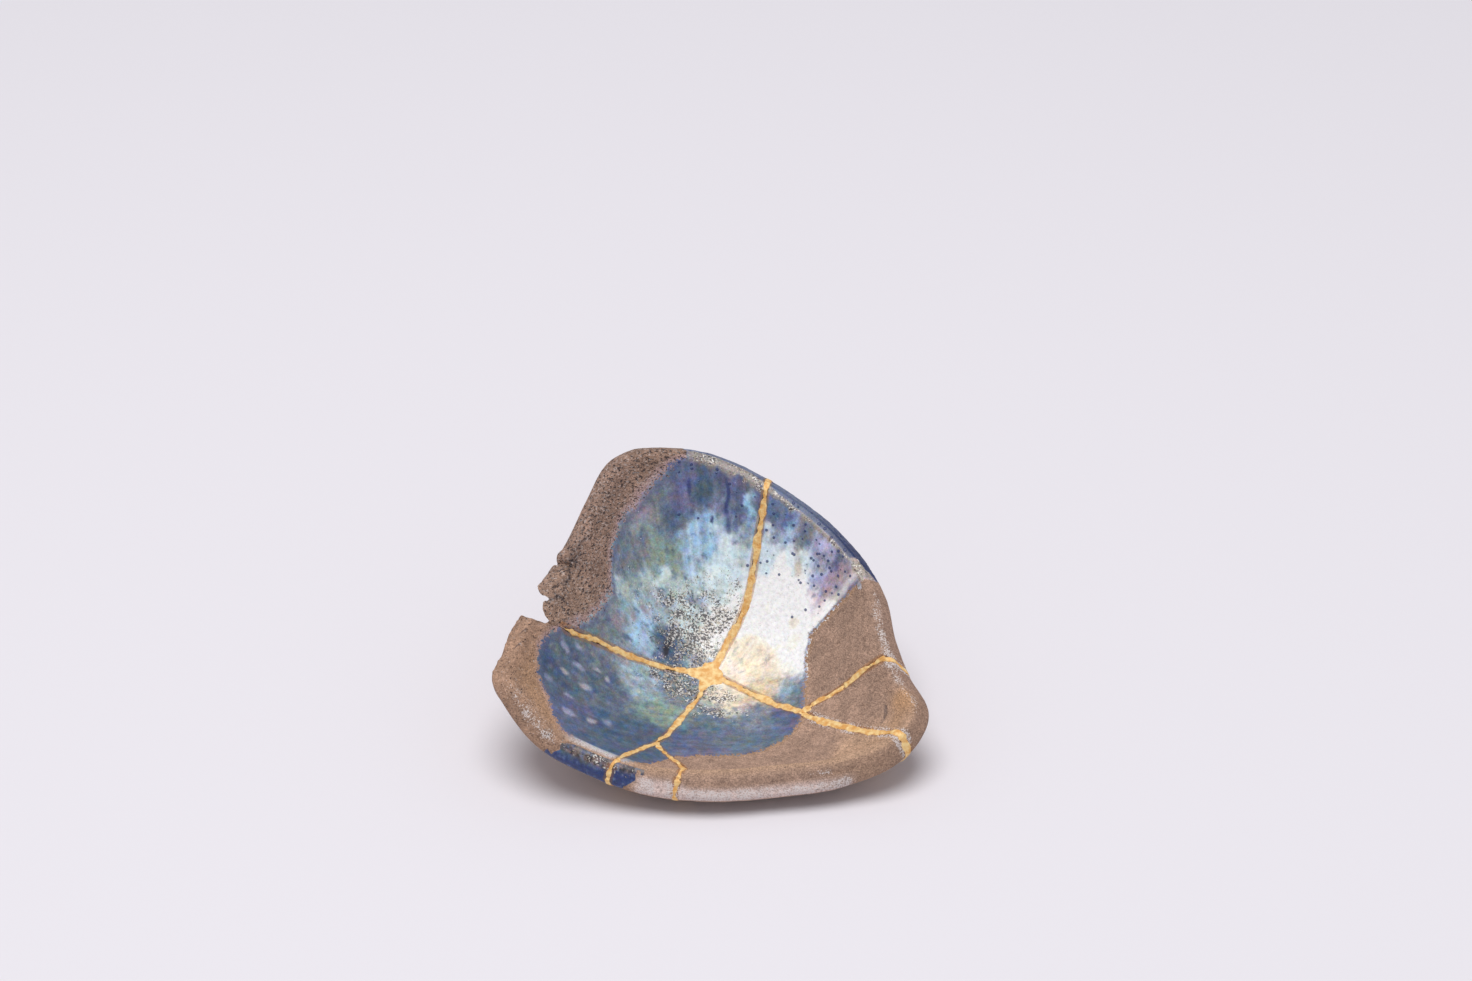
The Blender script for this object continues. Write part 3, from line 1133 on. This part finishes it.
def skin_material(name):
    """Painted clay and glaze with grain, pits, crystals, frost, gloss and bumps."""
    g = Graph(name)
    fine = g.noise(0.60 * MM, 2.0, 0.6)
    middle = g.noise(1.6 * MM)
    wide = g.noise(4.5 * MM)
    ragged = g.math("ADD", g.times(middle, 0.9), g.times(fine, 0.9))
    edge = g.math("ADD", g.field("reach"), g.times(g.math("SUBTRACT", ragged, 0.9), 5.0))
    gloss = g.step(edge, -0.22, 0.22)
    # Clay
    clay = g.shaded(g.field("clay", "Color"), g.scaled(fine, 0.30, 0.70, 0.62, 1.36))
    clay = g.shaded(clay, g.scaled(middle, 0.3, 0.7, 0.84, 1.16))
    squeezed = g.add("Mapping", {"Scale": (0.7, 0.8, 1.2), "Vector": g.coord})
    pit, crumb, _ = g.grains(1.0 * MM, g.field("pits"), 0.74, 0.555, 0.04, coord=squeezed)
    snow = g.grains(0.60 * MM, g.field("frost"), 0.76, 0.42, 0.12)[0]
    for mark, strength, colour in ((pit, 0.85, "ink"), (crumb, 0.34, "ash"), (snow, 0.85, "ash")):
        clay = g.mixed(g.times(mark, strength), clay, rgb(colour))
    # Glaze
    plain = g.field("glaze", "Color")
    glaze = g.hued(g.shaded(plain, g.scaled(fine, 0.28, 0.72, 0.76, 1.24)), 1.1 * MM, 0.8)
    glaze = g.mixed(g.scaled(g.field("glaze"), 0.35, 0.80, 1.0, 0.35), plain, glaze)
    glaze = g.shaded(glaze, g.scaled(middle, 0.3, 0.7, 0.88, 1.12))
    soot, spark, rusty = g.grains(0.85 * MM, g.field("crystal"), 0.80, 0.50, 0.05, wide)
    shine = g.mixed(g.scaled(wide, 0.42, 0.58, 0.0, 1.0), rgb("straw"), rgb("white"))
    dot = g.dotted(2.6 * MM, 0.30, g.field("dots"))
    for mark, strength, colour in (
            (rusty, 0.6, rgb("crust")), (spark, 0.75, shine),
            (soot, 0.85, rgb("ink")), (dot, 0.85, rgb("navy"))):
        glaze = g.mixed(g.times(mark, strength), glaze, colour)
    # Surface
    rough = g.times(g.scaled(gloss, 0.0, 1.0, 0.92, 0.36), g.scaled(wide, 0.3, 0.7, 0.85, 1.15))
    skin = g.bumped(fine, g.scaled(gloss, 0.0, 1.0, 1.0, 0.12), 0.55 * MM)
    skin = g.bumped(middle, g.scaled(gloss, 0.0, 1.0, 0.6, 0.25), 0.6 * MM, skin)
    hollow = g.math("SUBTRACT", dot, g.times(pit, g.math("SUBTRACT", 1.0, gloss)))
    g.feed(g.shader, {
        "Base Color": g.mixed(gloss, clay, glaze), "Roughness": rough, "Specular IOR Level": 0.4,
        "Normal": g.bumped(hollow, 0.8, 0.4 * MM, skin)})
    return g.material


def gold_material():
    g = Graph("gold_leaf")
    fine = g.noise(0.8 * MM, 3.0, 0.6)
    wide = g.noise(2.2 * MM, 2.0, 0.5)
    skin = g.bumped(fine, 0.9, 0.35 * MM)
    g.feed(g.shader, {
        "Base Color": g.mixed(g.scaled(wide, 0.35, 0.65, 0.0, 1.0), rgb("gold_low"), rgb("gold_high")),
        "Metallic": 0.15, "Roughness": g.scaled(fine, 0.3, 0.7, 0.46, 0.62),
        "Normal": g.bumped(wide, 0.4, 0.5 * MM, skin)})
    return g.material


# Building the pieces

def finished(name, piece, points, faces, material):
    """A smooth-shaded piece that rides on the bowl and stands in for one solid."""
    thing = mesh_object(name, points, faces)
    work = bmesh.new()
    work.from_mesh(thing.data)
    bmesh.ops.recalc_face_normals(work, faces=work.faces)
    work.to_mesh(thing.data)
    work.free()
    thing.data.shade_smooth()
    thing.data.set_sharp_from_angle(angle=math.radians(SHARP_ANGLE))
    thing.data.materials.append(material)
    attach(thing, "root")
    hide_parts(piece)
    return thing


def dress(name, points, faces):
    """One shard with its relief and paint."""
    at = Spots(points)
    inset = glaze_inset(at)
    lifted = points + at.directions() * relief(at, inset)[:, None] + at.outward() * broken_edge(at)[:, None]
    lifted[:, 2] = np.maximum(lifted[:, 2], 0.0)
    thing = finished(name.replace("shard", "fine"), name, lifted, faces,
                     skin_material(name + "_skin"))
    for key, values in painted(at, inset).items():
        if values.ndim == 2:
            field = thing.data.attributes.new(key, "FLOAT_COLOR", "POINT")
            field.data.foreach_set("color", np.pad(values, ((0, 0), (0, 1)), constant_values=1.0).ravel())
        else:
            thing.data.attributes.new(key, "FLOAT", "POINT").data.foreach_set("value", values)


def gild():
    """All the gold as one piece."""
    verts, faces, start = [], [], 0
    for points, loops in gold_parts():
        verts.append(points)
        faces += [[i + start for i in loop] for loop in loops]
        start += len(points)
    points = np.concatenate(verts)
    points[:, 2] = np.maximum(points[:, 2], GOLD_LIFT)
    finished("fine_gold", "gold_mend", points, faces, gold_material())


for shard, (shard_points, shard_faces) in cut_shards().items():
    dress(shard, shard_points, shard_faces)
gild()


# Floor, light and camera

FLOOR_SIZE = 3.0
FLOOR_COLOUR = (0.80, 0.78, 0.825, 1.0)
LAMP_PLACE = (-0.20, -0.30, 3.0)
LAMP_TARGET = (0.0, 0.02, 0.0)
LAMP_SIZE = 2.2
LAMP_POWER = 68.0
LAMP_COLOUR = (1.0, 0.985, 0.975)
ROOM_COLOUR = (0.93, 0.93, 0.98, 1.0)
ROOM_STRENGTH = 0.42
CAMERA_PLACE = (0.01075, -1.12538, 0.87793)
CAMERA_TILT = 56.3
CAMERA_LENS = 85.0


def placed(name, data, place):
    thing = bpy.data.objects.new(name, data)
    bpy.context.scene.collection.objects.link(thing)
    thing.location = place
    return thing


corners = [(x * FLOOR_SIZE, y * FLOOR_SIZE, 0.0) for x, y in ((-1, -1), (1, -1), (1, 1), (-1, 1))]
ground = mesh_object("floor", corners, [(0, 1, 2, 3)])
paper = Graph("pale_paper")
paper.feed(paper.shader, {"Base Color": FLOOR_COLOUR, "Roughness": 0.9})
ground.data.materials.append(paper.material)

world = bpy.data.worlds.new("soft_room")
world.use_nodes = True
world.node_tree.nodes["Background"].inputs["Color"].default_value = ROOM_COLOUR
world.node_tree.nodes["Background"].inputs["Strength"].default_value = ROOM_STRENGTH
bpy.context.scene.world = world
lamp = bpy.data.lights.new("overhead", "AREA")
lamp.shape = "DISK"
lamp.size = LAMP_SIZE
lamp.energy = LAMP_POWER
lamp.color = LAMP_COLOUR
way = mathutils.Vector(LAMP_TARGET) - mathutils.Vector(LAMP_PLACE)
placed("overhead", lamp, LAMP_PLACE).rotation_euler = way.to_track_quat("-Z", "Y").to_euler()
bpy.context.scene.view_settings.view_transform = "Standard"
bpy.context.scene.view_settings.look = "None"

lens = bpy.data.cameras.new("camera")
lens.lens = CAMERA_LENS
lens.sensor_width = 36.0
lens.sensor_fit = "HORIZONTAL"
lens.clip_start = 0.05
camera = placed("camera", lens, CAMERA_PLACE)
camera.rotation_euler = (math.radians(CAMERA_TILT), 0.0, 0.0)
bpy.context.scene.camera = camera
